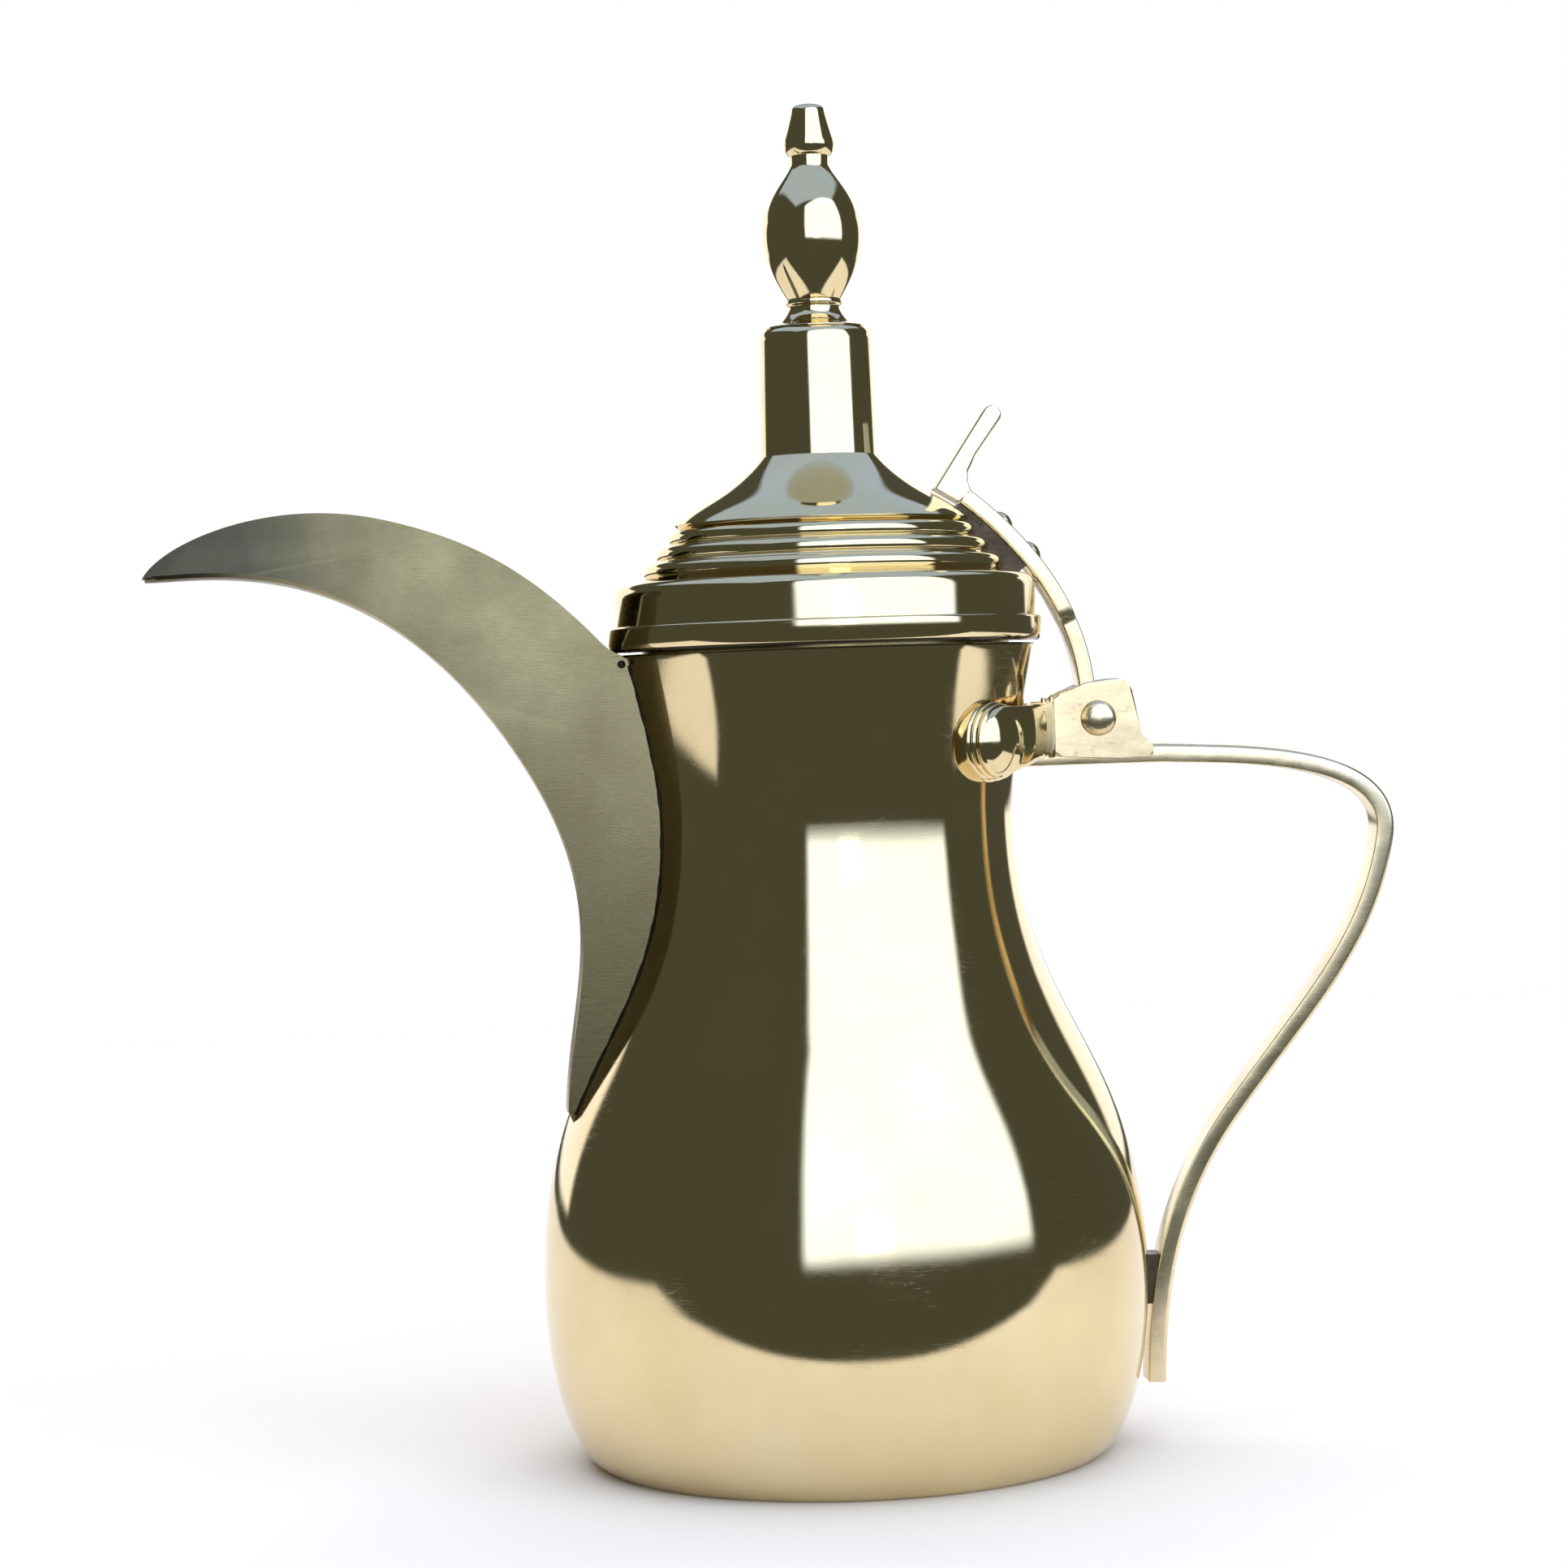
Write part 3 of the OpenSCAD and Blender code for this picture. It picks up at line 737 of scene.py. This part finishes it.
def finial():
    """The egg-shaped bulb and the small cap above it, with a rounded hip under a taper."""
    bulb_r, neck_r = 11, 4.3
    lower = [(5.9, COLLAR_Z), (8.6, COLLAR_Z + 4.4), (bulb_r, COLLAR_Z + 8.4),
             (bulb_r, COLLAR_Z + 14.4)]
    upper = [(bulb_r, COLLAR_Z + 14.4), (bulb_r, COLLAR_Z + 22), (5.6, BULB_TOP - 5.4),
             (neck_r, BULB_TOP - 2.2)]
    bulb = [(ROD_HOLE_R, COLLAR_Z)] + cubic(lower, 28) + cubic(upper, 28, 1)
    bulb += [(neck_r, BULB_TOP), (ROD_HOLE_R, BULB_TOP)]
    new_piece("finial_egg", turned(bulb, 160), "lid", "polished_brass", ["finial_bulb"], 45)

    hip = [(4.5, BULB_TOP), (5.2, BULB_TOP + 0.4), (6, BULB_TOP + 2), (5.6, BULB_TOP + 3.2)]
    taper = [(5.6, BULB_TOP + 3.2), (5, BULB_TOP + 5), (4.1, BULB_TOP + 8), (3.7, TOP_Z - 1.4)]
    crown = [(3.7, TOP_Z - 1.4), (3.4, TOP_Z - 0.4), (2.4, TOP_Z), (0, TOP_Z)]
    cap = [(0, BULB_TOP)] + cubic(hip, 12) + cubic(taper, 12, 1) + cubic(crown, 10, 1)
    new_piece("finial_tip", turned(cap, 128, closed=False), "lid", "polished_brass",
              ["finial_cap"], 60)


def strap_bar():
    """The curved bar from the lid's top step to the pin, narrower where it enters the plates."""
    outer = cubic([(32.8, 212.9), (44.5, 203.7), (58, 188.5), (59.5, 168)], 56) + [(60.2, 164.6)]
    narrow = TONGUE_W / 2

    def section(i):
        widening = smooth_step(TONGUE_TOP - 0.6, TONGUE_TOP + 0.6, outer[i][1])
        half = narrow + (STRAP_W / 2 - narrow) * widening
        return rounded_bar(half, -STRAP_T, 0, 0.4, 0.5)
    new_piece("strap_bar", swept(outer, section), "lid", "cast_brass", ["lid_strap"], 50)


def strap_lever():
    """The thumb lever that kicks up from the strap's upper end."""
    # its inner and outer sides, from its foot on the strap up to its rounded end
    pairs = [((25.2, 213.6), (30.7, 210.2)), ((26.4, 215.4), (33.3, 212.3)),
             ((27.6, 217.2), (32.4, 214.6)), ((29, 219.3), (32.5, 216.9)),
             ((31.2, 222.6), (34.4, 220.5)), ((36.2, 230), (40.1, 228.4)),
             ((36.7, 230.7), (40.3, 229.2)), ((37.4, 231.2), (40.2, 230)),
             ((38.3, 231.4), (39.7, 230.9))]
    bm = bmesh.new()
    rings = []
    for a, b in pairs:
        a, b = Vector(a), Vector(b)
        middle, reach = (a + b) / 2, (b - a).length / 2
        along = (b - a).normalized()
        ring = rounded_bar(STRAP_W / 2, -reach, reach, 0.5, 0.5)
        rings.append([bm.verts.new((middle.x + along.x * u, y, middle.y + along.y * u))
                      for u, y in ring])
    join_rings(bm, rings)
    bm.faces.new(rings[0])
    bm.faces.new(rings[-1])
    new_piece("strap_lever", bm, "lid", "cast_brass", smooth_angle=50)


def strap_eye():
    """The round eye that turns on the pin between the plates."""
    half, bore = TONGUE_W / 2, PIN_R + PIN_GAP
    eye = [(bore, -half), (KNUCKLE_R, -half), (KNUCKLE_R, half), (bore, half)]
    bm = turned(soften(eye, 0.5), 96)
    place = Matrix.Translation((PIN_X, 0, PIN_Z)) @ Matrix.Rotation(math.pi / 2, 4, "X")
    bmesh.ops.transform(bm, matrix=place, verts=bm.verts)
    new_piece("strap_eye", bm, "lid", "cast_brass", smooth_angle=50)


pot_body()
beak()
handle()
for side, name in SIDES:
    bracket(side, name)
dome()
flange()
tower()
finial()
strap_bar()
strap_lever()
strap_eye()

SLOT_OF = {row["node"]: row["material_slot"] for row in frame["record"]["subparts"]}
for name, node in frame["nodes"].items():
    node.data.materials.clear()
    node.data.materials.append(MATERIALS[SLOT_OF[name]])


# ---------------------------------------------------------------- stage

SOFT_EDGE = 0.05    # the share of a soft box over which each edge fades


def camera():
    """At the photograph's viewing angle: level with the pin, square to the beak and the handle."""
    data = bpy.data.cameras.new("camera")
    data.sensor_width = 36.0
    data.lens = 89.4
    view = bpy.data.objects.new("camera", data)
    bpy.context.scene.collection.objects.link(view)
    azimuth, roll = math.radians(-4.0), math.radians(1.9)
    aim = Vector((-0.0102, 0, 0.1491))
    distance, height = 0.864, 0.166
    view.location = aim + Vector((distance * math.sin(azimuth), -distance * math.cos(azimuth),
                                  height - aim.z))
    turn = (aim - view.location).to_track_quat("-Z", "Y").to_matrix()
    view.rotation_euler = (turn @ Matrix.Rotation(-roll, 3, "Z")).to_euler()
    bpy.context.scene.camera = view


def floor():
    """A plain pale table top, a little larger than the view, with its front edge just out of view."""
    bm = bmesh.new()
    corners = ((-0.7, -0.16), (0.7, -0.16), (0.7, 1.2), (-0.7, 1.2))
    bm.faces.new([bm.verts.new((x, y, 0)) for x, y in corners])
    mesh = bpy.data.meshes.new("floor")
    bm.to_mesh(mesh)
    bm.free()
    ground = bpy.data.objects.new("floor", mesh)
    bpy.context.scene.collection.objects.link(ground)
    material = bpy.data.materials.new("floor_paper")
    material.use_nodes = True
    make = node_maker(material.node_tree)
    place = make("ShaderNodeTexCoord").outputs["Object"]
    fibres = make("ShaderNodeTexNoise", {"Vector": place, "Scale": 9.0, "Detail": 3.0}).outputs["Fac"]
    pale = colour_mix(make, fibres, (0.93, 0.86, 0.78), (0.88, 0.81, 0.72))
    paper = material.node_tree.nodes["Principled BSDF"]
    paper.inputs["Roughness"].default_value = 0.8
    material.node_tree.links.new(pale, paper.inputs["Base Color"])
    mesh.materials.append(material)


def world():
    """A plain white backdrop for the camera, and a dim plain room for everything else."""
    backdrop, room = (1.0, 1.0, 1.0), (0.075, 0.080, 0.062)
    sky = bpy.data.worlds.new("studio")
    bpy.context.scene.world = sky
    sky.use_nodes = True
    make = node_maker(sky.node_tree)
    seen = make("ShaderNodeLightPath").outputs["Is Camera Ray"]
    shade = colour_mix(make, seen, room, backdrop)
    sky.node_tree.links.new(shade, sky.node_tree.nodes["Background"].inputs["Color"])


def soften_edges(data):
    """Lets a soft box fade out over its edges, as one with a cloth front does."""
    data.use_nodes = True
    make = node_maker(data.node_tree)
    spot = make("ShaderNodeNewGeometry").outputs["Parametric"]
    fade = 1.0
    for axis in make("ShaderNodeSeparateXYZ", {0: spot}).outputs[:2]:
        for edge in (0, 1):
            rise = ranged(make, axis, edge, abs(edge - SOFT_EDGE))
            fade = combined(make, "MULTIPLY", rise, fade)
    data.node_tree.links.new(fade, data.node_tree.nodes["Emission"].inputs["Strength"])


def soft_box(name, place, size, radiance, tint, target=(0, 0, 0.13), shown=True):
    """A rectangular soft box of (width, height), turned to the target. shown is for reflections."""
    data = bpy.data.lights.new(name, "AREA")
    data.shape = "RECTANGLE"
    data.size, data.size_y = size
    data.energy = radiance * math.pi * size[0] * size[1]
    data.color = tint
    soften_edges(data)
    lamp = bpy.data.objects.new(name, data)
    bpy.context.scene.collection.objects.link(lamp)
    lamp.location = place
    lamp.rotation_euler = (Vector(target) - Vector(place)).to_track_quat("-Z", "Y").to_euler()
    lamp.visible_camera = False
    lamp.visible_glossy = shown


camera()
floor()
world()
soft_box("front_box", (0.78, -1.68, 1.52), (4.0, 2.9), 2.3, (0.60, 0.74, 1.0), target=(0, 0, 1.4))
soft_box("back_box", (0, 2.1, 0.55), (4.4, 1.1), 1.25, (0.96, 0.95, 1.0))
soft_box("top_box", (0, 0.17, 1.75), (2.8, 2.74), 0.88, (0.43, 0.60, 1.0))
soft_box("key_box", (0.16, -1.5, 0.29), (0.34, 0.24), 2.8, (1.0, 0.86, 0.64))
soft_box("floor_fill", (0, 0.4, 2.2), (3, 3), 2.0, (1.0, 0.97, 0.93), shown=False)
bpy.context.scene.view_settings.view_transform = "Standard"
